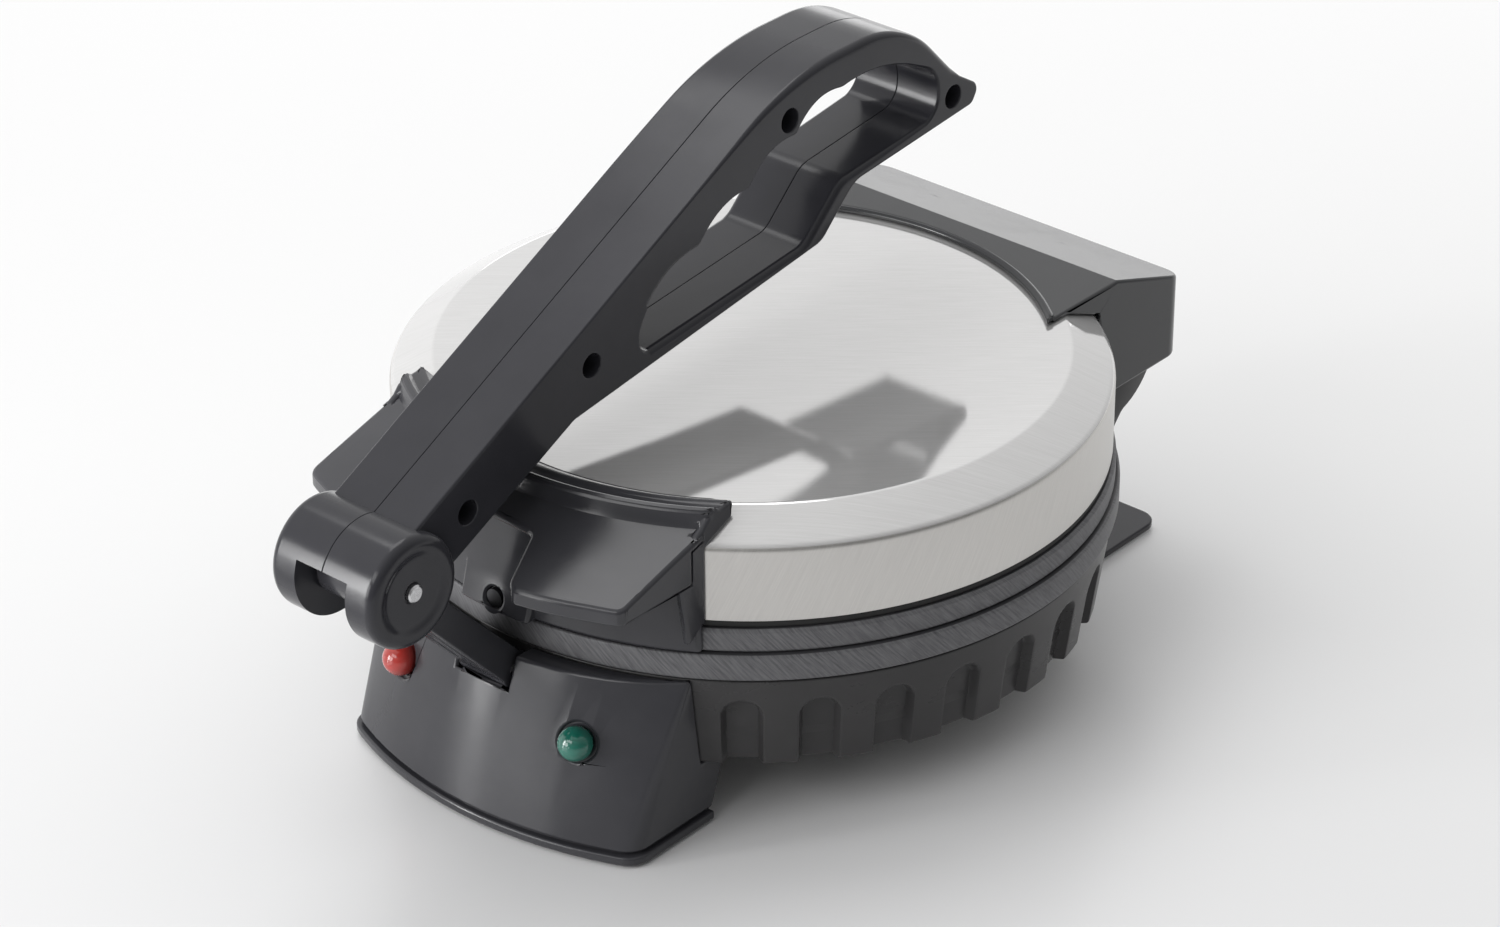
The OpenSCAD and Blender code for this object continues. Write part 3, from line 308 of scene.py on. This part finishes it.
def lathe(profile, segments=256):
    """Turns a closed (radius, height) outline, in millimetres, around the lid's axis."""
    bm = bmesh.new()
    rings = []
    for radius, height in profile:
        if radius < 0.001:
            rings.append([bm.verts.new(to_world(0, 0, height))])
        else:
            rings.append([bm.verts.new(to_world(radius * math.cos(2 * math.pi * i / segments),
                                                radius * math.sin(2 * math.pi * i / segments), height))
                          for i in range(segments)])
    for low, high in zip(rings, rings[1:] + rings[:1]):
        if len(low) == 1 and len(high) == 1:
            continue
        for i in range(segments):
            j = (i + 1) % segments
            if len(low) == 1:
                bm.faces.new((low[0], high[i], high[j]))
            elif len(high) == 1:
                bm.faces.new((low[i], high[0], low[j]))
            else:
                bm.faces.new((low[i], high[i], high[j], low[j]))
    return bm


def copy_of(source):
    """A bmesh of a CAD node with its doubled points joined."""
    bm = bmesh.new()
    bm.from_mesh(NODES[source].data)
    bmesh.ops.remove_doubles(bm, verts=bm.verts, dist=2e-6)
    bmesh.ops.dissolve_degenerate(bm, dist=5e-6, edges=bm.edges)
    return bm


def weigh_edges(bm, reach=0.05, least=28.0):
    """Marks for rounding the outward edges that do not face the piece's own inside."""
    tree = BVHTree.FromBMesh(bm)
    layer = bm.edges.layers.float.new("bevel_weight_edge")
    for edge in bm.edges:
        if len(edge.link_faces) != 2 or edge.calc_face_angle_signed(0) < math.radians(least):
            continue
        normal = (edge.link_faces[0].normal + edge.link_faces[1].normal).normalized()
        middle = (edge.verts[0].co + edge.verts[1].co) / 2
        if tree.ray_cast(middle + normal * 0.0003, normal, reach)[0] is None:
            edge[layer] = 1.0


def dress(source, mat, body, width, sharp):
    """Puts a finished skin over a CAD node: the same shape with its outer edges rounded."""
    bm = copy_of(source)
    bm.normal_update()
    weigh_edges(bm)
    obj = add_object(source + "_skin", bm, [mat], body, source, sharp)
    bevel = obj.modifiers.new("edges", "BEVEL")
    bevel.width = width * MM
    bevel.segments = 3
    bevel.limit_method = "WEIGHT"
    bevel.use_clamp_overlap = False
    bevel.loop_slide = False
    even_normals(obj)


def finish_node(name, mat):
    """Gives a CAD node that stays its finished material."""
    mesh = NODES[name].data
    mesh.materials.clear()
    mesh.materials.append(mat)


# CAD nodes that stay as they are

for name, mat in {
    "rubber_feet": rubber, "lower_heater": heater, "heat_shield": sheet_metal, "plate_screws": plated,
    "thermostat": ceramic, "thermal_fuse": ceramic, "terminal_block": ceramic, "base_wires": sleeve,
    "console_screws": plated, "leg_screws": plated, "lamp_holders": holder, "neon_lamps": glass,
    "cord_bush": rubber, "hinge_pins": plated, "link_pin": plated, "upper_heater": heater,
    "lid_insulation": fibre, "clip_screws": blackened, "cover_screws": plated,
    "handle_pin": plated, "handle_screws": blackened,
}.items():
    finish_node(name, mat)


# Round pieces turned around the lid's axis

lid_outside = rounded([
    (LID_R - LID_SHEET, LID_BOTTOM, 0), (LID_R, LID_BOTTOM, 0.2), (LID_R, LID_SHOULDER, 3.0),
    (LID_FLAT_R, LID_TOP, 2.5), (60, LID_TOP, 0), (30, LID_TOP, 0), (0, LID_TOP, 0)], 8)
lid_inside = [(0, LID_TOP - LID_SHEET), (LID_FLAT_R - 0.2, LID_TOP - LID_SHEET),
              (LID_R - LID_SHEET, LID_SHOULDER - 0.5)]
bm = lathe(lid_outside + lid_inside)
for face in bm.faces:
    middle = face.calc_center_median()
    face.material_index = 1 if middle.z < (LID_SHOULDER - 0.4) * MM else 0
add_object("steel_lid_skin", bm, [steel_top, steel_side], "lid", "steel_lid", 50)

gasket = lathe(rounded([(96, UPPER_TOP, 0.3), (101.6, UPPER_TOP, 0.5), (101.6, LID_BOTTOM - 0.05, 0.3),
                        (101.1, LID_BOTTOM - 0.05, 0), (101.1, 74, 0.4), (98.6, 74, 0.4),
                        (98.6, 69, 0), (96, 69, 0)], 3))
add_object("lid_gasket_skin", gasket, [dark_ring], "lid", "lid_gasket")

lower = lathe(rounded([(0, 55, 0), (98, 55, 1.5), (98, 51, 0.5), (LOWER_R, 51, 0.9), (LOWER_R, SEAM, 0.9),
                       (96, SEAM, 0), (0, SEAM, 0)], 5))
add_object("lower_plate_skin", lower, [plate_metal], "base", "lower_plate")


def slab(outline, holes, place, low, high, soft_low=0.5, soft_high=0.5, steps=3):
    """A closed plate between two heights, with holes through it and with its edges rounded.

    A rounding is a size, a function of the point, or a list of these, one for each outline.
    """
    bm = bmesh.new()
    caps = {"low": [], "high": []}
    for number, loop in enumerate([outline] + holes):
        pts = [Vector(p) for p in loop]
        count = len(pts)
        area = sum(pts[i - 1].x * pts[i].y - pts[i].x * pts[i - 1].y for i in range(count))
        if (area > 0) != (loop is outline):
            pts.reverse()
        inward = []
        for i, p in enumerate(pts):
            before = (p - pts[i - 1]).normalized()
            after = (pts[(i + 1) % count] - p).normalized()
            n0 = Vector((-before.y, before.x))
            n1 = Vector((-after.y, after.x))
            inward.append((n0 + n1) / max(0.4, 1 + n0.dot(n1)))
        rings = []
        for soft, level, turn in ((soft_low, low, -1), (soft_high, high, 1)):
            rule = soft[number] if isinstance(soft, list) else soft
            sizes = [rule(p) if callable(rule) else rule for p in pts]
            if max(sizes) <= 0:
                rings.append([[(p, level) for p in pts]])
                continue
            part = []
            for k in range(steps + 1):
                angle = math.pi / 2 * k / steps
                aside, down = 1 - math.cos(angle), 1 - math.sin(angle)
                part.append([(p + n * (size * aside), level - turn * size * down)
                             for p, n, size in zip(pts, inward, sizes)])
            rings.append(part if turn > 0 else part[::-1])
        loops = [[bm.verts.new(place(q.x, q.y, h)) for q, h in ring] for ring in rings[0] + rings[1]]
        for lower, upper in zip(loops, loops[1:]):
            for i in range(count):
                j = (i + 1) % count
                bm.faces.new((lower[i], lower[j], upper[j], upper[i]))
        caps["low"].append(([q for q, h in rings[0][0]], loops[0]))
        caps["high"].append(([q for q, h in rings[1][-1]], loops[-1]))
    for parts in caps.values():
        verts = [v for flat, loop in parts for v in loop]
        for tri in tessellate_polygon([[Vector((q.x, q.y, 0)) for q in flat] for flat, loop in parts]):
            if len({verts[i] for i in tri}) == 3:
                bm.faces.new([verts[i] for i in tri])
    return bm


def circle(x, y, radius, count=32):
    """A round outline."""
    return [(x + radius * math.cos(2 * math.pi * i / count),
             y + radius * math.sin(2 * math.pi * i / count)) for i in range(count)]


def merged(parts):
    """One bmesh of several."""
    out = bmesh.new()
    for part in parts:
        mesh = bpy.data.meshes.new("part")
        part.to_mesh(mesh)
        part.free()
        out.from_mesh(mesh)
        bpy.data.meshes.remove(mesh)
    return out


# Fluted bowl: its sizes in millimetres, its flutes in degrees around it

BOWL_R0, BOWL_R1, BOWL_Z, BOWL_TOP = 99.0, 103.0, 21.3, 50.2
FLUTE_W, FLUTE_H, FLUTE_DEPTH, FLUTE_SOFT = 11.6, 22.3, 2.9, 1.5
FLUTE_FIRST, FLUTE_STEP, FLUTE_COUNT = -51, 12, 12
FOOT_EDGE, RIM_EDGE = 0.7, 0.6


def smooth(t):
    """An S-curve from 0 to 1."""
    t = max(0.0, min(1.0, t))
    return t * t * (3 - 2 * t)


def flute_depth_at(angle, z):
    """How deep the wall lies at an angle in degrees and a height, with the flutes' soft sides."""
    folded = angle if angle <= 90 else 180 - angle
    if folded < -58 or folded > 88:
        return 0.0
    nearest = round((folded - FLUTE_FIRST) / FLUTE_STEP)
    if not 0 <= nearest < FLUTE_COUNT:
        return 0.0
    across = math.radians(folded - (nearest * FLUTE_STEP + FLUTE_FIRST)) * BOWL_R0
    centre = BOWL_Z + FLUTE_H - FLUTE_W / 2
    far = math.hypot(across, max(0.0, z - centre))
    return FLUTE_DEPTH * smooth((FLUTE_W / 2 - far) / FLUTE_SOFT)


def round_back(height, size):
    """How far an edge's rounding lies behind the wall at a height above that edge."""
    left = size - min(size, height)
    return size - math.sqrt(max(0.0, size * size - left * left))


def bowl_wall():
    """The fluted wall with rounded edges, and its inner side."""
    around = 1440
    heights = [BOWL_Z + v for v in (0, 0.12, 0.35, 0.7)]
    heights += [BOWL_Z + 1.1 + 0.55 * i for i in range(50)]
    heights = [z for z in heights if z < BOWL_TOP - 0.75] + [BOWL_TOP - v for v in (0.6, 0.3, 0.1, 0)]
    rings = []
    bm = bmesh.new()
    for z in heights:
        back = round_back(z - BOWL_Z, FOOT_EDGE) + round_back(BOWL_TOP - z, RIM_EDGE)
        ring = []
        for i in range(around):
            angle = 360 * i / around - 90
            radius = BOWL_R0 + (BOWL_R1 - BOWL_R0) * (z - BOWL_Z) / (BOWL_TOP - BOWL_Z)
            radius -= back + flute_depth_at(angle, z)
            turn = math.radians(angle)
            ring.append(bm.verts.new(to_world(radius * math.cos(turn), radius * math.sin(turn), z)))
        rings.append(ring)
    for radius, z in ((97.6, BOWL_TOP), (97.6, 30), (93.5, 24), (93.5, BOWL_Z)):
        rings.append([bm.verts.new(to_world(radius * math.cos(2 * math.pi * i / around - math.pi / 2),
                                            radius * math.sin(2 * math.pi * i / around - math.pi / 2), z))
                      for i in range(around)])
    for low, high in zip(rings, rings[1:] + rings[:1]):
        for i in range(around):
            j = (i + 1) % around
            bm.faces.new((low[i], low[j], high[j], high[i]))
    return bm


def bowl_floor():
    """The floor with its air holes, screw holes and the link's opening."""
    holes = [circle(38 * math.cos(math.radians(a)), 38 * math.sin(math.radians(a)), 3)
             for a in range(0, 360, 30)]
    holes += [circle(64 * math.cos(math.radians(a)), 64 * math.sin(math.radians(a)), 4)
              for a in (30, 150, 270)]
    holes.append(circle(0, 82, 7))
    return slab(circle(0, 0, 94.5, 180), holes, to_world, BOWL_Z + 0.25, BOWL_Z + 2.5, 0.4, 0.2)


def ear(side):
    """One hinge ear; its outline is (back, up) from the lid's axis."""
    hollow = [(96 + 21.5 * math.cos(math.radians(a)), 72.5 + 21.5 * math.sin(math.radians(a)))
           for a in range(-72, -25, 3)]
    round_top = [(107 + 10 * math.cos(math.radians(a)), 63 + 10 * math.sin(math.radians(a)))
                 for a in range(0, 181, 10)]
    outline = [(88, 41), (90.5, 40.3), (94, 42), (99, 48.6), (101.5, 51.3)] + hollow + round_top
    outline += [(94, 62), (94, 50.1), (88, 50.1)]
    low, high = sorted((side * 47.0, side * 55.3))
    return slab(outline, [], lambda a, b, c: to_world(c, a, b), low, high, 0.5, 0.5)


add_object("base_shell_skin", merged([bowl_wall(), bowl_floor(), ear(-1), ear(1)]), [black_skirt],
           "base", "base_shell", 40)


# Handle: two halves that meet at a parting line; its outlines are (along, up) from the pin

HANDLE_CORNERS = [(3.8, 14.7, 0), (154.3, 89.6, 90), (202.4, 89.6, 42), (227, 63.8, 4), (236.2, 58, 3),
                  (233, 52.9, 3), (180.5, 48, 10), (166.5, 34.8, 8), (65, 21.6, 6), (19.2, -0.1, 3),
                  (12.9, -2.3, 0)]
GRIP_LOW = [(91.2, 37.5, 0), (91.2, 29.8, 4), (159.5, 36.4, 8), (175, 50.6, 9), (217.3, 55, 7),
            (217.3, 69, 10), (203, 75.8, 0)]
GRIP_RESTS = [(201, 76.4), (175.1, 78.8), (155.6, 71.7), (136, 62.9), (115.5, 53.4), (94.4, 42.9)]
GRIP_BULGE = [1.8, 3.4, 3.2, 3.0, 2.6]
HANDLE_SCREWS = [(23.9, 12), (72.1, 35.2), (152.7, 77), (223.9, 58.4)]
HANDLE_HALF, FORK_R, SLOT_HALF = 15.0, 16.0, 9.2
PARTING = 0.05
SCREW_ROOM_R = 3.5


def filled(points, most=5.0):
    """The same closed outline with no two points further apart than a length."""
    out = []
    for i, p in enumerate(points):
        q = points[(i + 1) % len(points)]
        parts = max(1, math.ceil(math.dist(p, q) / most))
        out.extend((p[0] + (q[0] - p[0]) * k / parts, p[1] + (q[1] - p[1]) * k / parts)
                   for k in range(parts))
    return out


def arc(radius, first, last, step=3):
    """Points around the pin between two angles in degrees."""
    count = max(1, round(abs(last - first) / step))
    return [(radius * math.cos(math.radians(first + (last - first) * k / count)),
             radius * math.sin(math.radians(first + (last - first) * k / count)))
            for k in range(count + 1)]


def grip_outline():
    """The grip opening: its lower rail, then the finger rests, with the corners worn off."""
    points = rounded(GRIP_LOW, 8)
    for (p, q), bulge in zip(zip(GRIP_RESTS, GRIP_RESTS[1:]), GRIP_BULGE):
        run = Vector(q) - Vector(p)
        side = Vector((run.y, -run.x)).normalized()
        for k in range(10):
            t = k / 10
            points.append(tuple(Vector(p) + run * t + side * bulge * 4 * t * (1 - t)))
    points.append(GRIP_RESTS[-1])
    for _ in range(2):
        points = [q for a, b in zip(points, points[1:] + points[:1])
                  for q in ((a[0] * 0.75 + b[0] * 0.25, a[1] * 0.75 + b[1] * 0.25),
                            (a[0] * 0.25 + b[0] * 0.75, a[1] * 0.25 + b[1] * 0.75))]
    return filled(points)


def outer_soft(p):
    """The edge between top and side: nearly sharp on the straight bar, fuller over the bend."""
    if p.y < 40 + (p.x - 100) * 0.2:
        return 0.8
    return 0.7 + 1.5 * smooth((p.x - 110) / 60)


def grip_soft(p):
    """The grip opening's edge: full on the lower rail, slight at the finger rests."""
    return 0.8 + 1.3 * smooth((56 - p.y) / 6) if p.x > 95 else 0.8


def handle_half(side):
    """The bar, the web between the fork's cheeks and the turned cheek of one half."""
    def place(a, b, c):
        return to_world(side * c, a + PIN_Y, b + PIN_Z)

    bar = filled(rounded_loop(HANDLE_CORNERS, 12) + arc(13.0, -8, 72)[1:-1])
    holes = [grip_outline()]
    if side > 0:
        holes += [circle(y, z, SCREW_ROOM_R, 28) for y, z in HANDLE_SCREWS]
    softness = [outer_soft, grip_soft] + [0.35] * len(HANDLE_SCREWS)
    parts = [slab(bar, holes, place, PARTING, HANDLE_HALF, 0.22, softness, 5)]
    web = arc(FORK_R, 157.2, -25.7) + arc(10.0, -11.5, 141.7) + [(-14.75, 6.2)]
    parts.append(slab(web, [], place, PARTING, SLOT_HALF, 0.22, 0.0, 3))
    cheek = [(2.55, SLOT_HALF), (FORK_R, SLOT_HALF), (FORK_R, 15.9)]
    cheek += [(13.15 + 2.85 * math.cos(math.radians(a)), 15.9 + 2.85 * math.sin(math.radians(a)))
              for a in range(10, 91, 10)]
    cheek += [(12.4, 18.7), (11.7, 18.55), (11.0, 18.3), (10.3, 18.05), (9.6, 17.9), (8.8, 17.85),
              (3.5, 17.85), (3.0, 17.75), (2.55, 17.4)]
    parts.append(turned(cheek, place))
    return merged(parts)


def turned(profile, place, segments=120):
    """Turns a closed (radius, distance) outline around the pin."""
    bm = bmesh.new()
    rings = []
    for radius, out in profile:
        rings.append([bm.verts.new(place(radius * math.cos(math.radians(360 * i / segments)),
                                         radius * math.sin(math.radians(360 * i / segments)), out))
                      for i in range(segments)])
    for low, high in zip(rings, rings[1:] + rings[:1]):
        for i in range(segments):
            j = (i + 1) % segments
            bm.faces.new((low[i], low[j], high[j], high[i]))
    return bm


for side, name in ((-1, "handle_left"), (1, "handle_right")):
    half = add_object(name + "_skin", handle_half(side), [black], "handle", name, 36)
    even_normals(half)


# Skins over the CAD nodes: material, body, slot, width of the rounding, angle of a sharp edge

for name, mat, body, slot, width, sharp in (
    ("front_console", black_front, "base", "black_moulding", 0.9, 30),
    ("console_foot", black_front, "base", "black_moulding", 0.6, 50),
    ("rear_leg", black, "base", "black_moulding", 0.5, 50),
    ("upper_plate", plate_metal, "lid", "coated_plate", 0.3, 50),
    ("front_clip", black_front, "lid", "black_moulding", 1.0, 32),
    ("rear_cover", black_cover, "lid", "black_moulding", 0.9, 14),
    ("link_arm", black_front, "link", "black_moulding", 0.5, 50),
    ("red_lens", red_glass, "base", "red_lens", 0.2, 50),
    ("green_lens", green_glass, "base", "green_lens", 0.2, 50),
):
    dress(name, mat, body, width, sharp)

# The turning marks stay on the plates' rims; their level faces are coated
for name in ("lower_plate_skin", "upper_plate_skin"):
    mesh = bpy.data.objects[name].data
    mesh.materials.append(plate_face)
    for face in mesh.polygons:
        if abs(face.normal.z) > 0.9:
            face.material_index = 1


# Floor, light and camera

floor_mesh = bpy.data.meshes.new("floor")
bm = bmesh.new()
bmesh.ops.create_grid(bm, x_segments=2, y_segments=2, size=4.0)
bm.to_mesh(floor_mesh)
bm.free()
floor = bpy.data.objects.new("floor", floor_mesh)
bpy.context.scene.collection.objects.link(floor)

# The floor's colour carries a painted shade that darkens it towards the camera and pales it away from the
# camera, and the floor shows as white far behind the object
floor_mat, tree, shader = new_material("pale_floor")
link = tree.links.new
shader.inputs["Roughness"].default_value = 0.25
shader.inputs["Specular IOR Level"].default_value = 0.45
place = node(tree, "ShaderNodeTexCoord")
away = node(tree, "ShaderNodeVectorMath", operation="DOT_PRODUCT")
away.inputs[1].default_value = (-0.655, 0.756, 0)
link(place.outputs["Object"], away.inputs[0])
# Painted shade: the floor's base colour runs from darker near the camera to paler far from it
floor_painted_shade = ranged(tree, away.outputs["Value"], 0.0, 1.0, -0.40, 0.35)
link(tinted(tree, floor_painted_shade, (0.80, 0.80, 0.805), (0.86, 0.86, 0.86)), shader.inputs["Base Color"])
path = node(tree, "ShaderNodeLightPath")
seen = node(tree, "ShaderNodeMath", operation="MAXIMUM")
link(path.outputs["Is Camera Ray"], seen.inputs[0])
link(path.outputs["Is Glossy Ray"], seen.inputs[1])
seen_all = node(tree, "ShaderNodeMath", operation="MAXIMUM")
link(seen.outputs[0], seen_all.inputs[0])
link(path.outputs["Is Transmission Ray"], seen_all.inputs[1])
fade = node(tree, "ShaderNodeMath", operation="MULTIPLY")
link(ranged(tree, away.outputs["Value"], 0.0, 0.85, 0.02, 0.55), fade.inputs[0])
link(seen_all.outputs[0], fade.inputs[1])
white = node(tree, "ShaderNodeEmission")
mix = node(tree, "ShaderNodeMixShader")
link(fade.outputs[0], mix.inputs[0])
link(shader.outputs[0], mix.inputs[1])
link(white.outputs[0], mix.inputs[2])
link(mix.outputs[0], tree.nodes["Material Output"].inputs["Surface"])
floor_mesh.materials.append(floor_mat)

# The room is brighter behind and to the left, dimmer in front and to the right
world = bpy.data.worlds.new("studio")
bpy.context.scene.world = world
world.use_nodes = True
tree = world.node_tree
link = tree.links.new
around = node(tree, "ShaderNodeTexCoord")
toward = node(tree, "ShaderNodeVectorMath", operation="DOT_PRODUCT")
toward.inputs[1].default_value = (-0.84, 0.25, 0.48)
link(around.outputs["Generated"], toward.inputs[0])
background = tree.nodes["Background"]
background.inputs["Color"].default_value = (1, 1, 1, 1)
link(ranged(tree, toward.outputs["Value"], 0.16, 1.0, -0.66, 0.80), background.inputs["Strength"])


def softbox(name, place, target, size, power):
    """A rectangular lamp turned to a place."""
    data = bpy.data.lights.new(name, "AREA")
    data.shape = "RECTANGLE"
    data.size, data.size_y = size
    data.energy = power
    lamp = bpy.data.objects.new(name, data)
    bpy.context.scene.collection.objects.link(lamp)
    lamp.location = place
    lamp.rotation_euler = (Vector(target) - Vector(place)).to_track_quat("-Z", "Y").to_euler()


softbox("upper_box", (-0.62, 0.35, 1.65), (0, 0, 0.1), (0.9, 0.9), 5.6)
softbox("front_strip", (-0.86, -1.30, 0.36), (0, -0.1, 0.05), (0.16, 0.9), 5.0)
softbox("front_box", (-0.65, -1.50, 0.40), (0, -0.05, 0.06), (1.1, 0.6), 10.0)
softbox("fill_box", (-0.10, -1.40, 1.05), (0, -0.05, 0.06), (1.1, 0.5), 5.0)
softbox("back_box", (-1.15, 1.65, 0.25), (0, 0.12, 0.1), (1.4, 0.5), 3.0)

# The camera is fitted to the photograph
camera_data = bpy.data.cameras.new("camera")
camera_data.lens = 108.01
camera_data.sensor_width = 36
camera_data.sensor_fit = "HORIZONTAL"
camera = bpy.data.objects.new("camera", camera_data)
bpy.context.scene.collection.objects.link(camera)
azimuth, elevation, roll = math.radians(40.91), math.radians(30.01), math.radians(-0.29)
back = Vector((math.sin(azimuth) * math.cos(elevation), -math.cos(azimuth) * math.cos(elevation),
               math.sin(elevation)))
level = Vector((math.cos(azimuth), math.sin(azimuth), 0))
upright = back.cross(level)
right = level * math.cos(roll) + upright * math.sin(roll)
up = -level * math.sin(roll) + upright * math.cos(roll)
turn = Matrix((right, up, back)).transposed()
CAMERA_AT = (0.72655, -0.81828, 0.69923)
camera.matrix_world = Matrix.Translation(CAMERA_AT) @ turn.to_4x4()
bpy.context.scene.camera = camera
bpy.context.scene.view_settings.view_transform = "Standard"
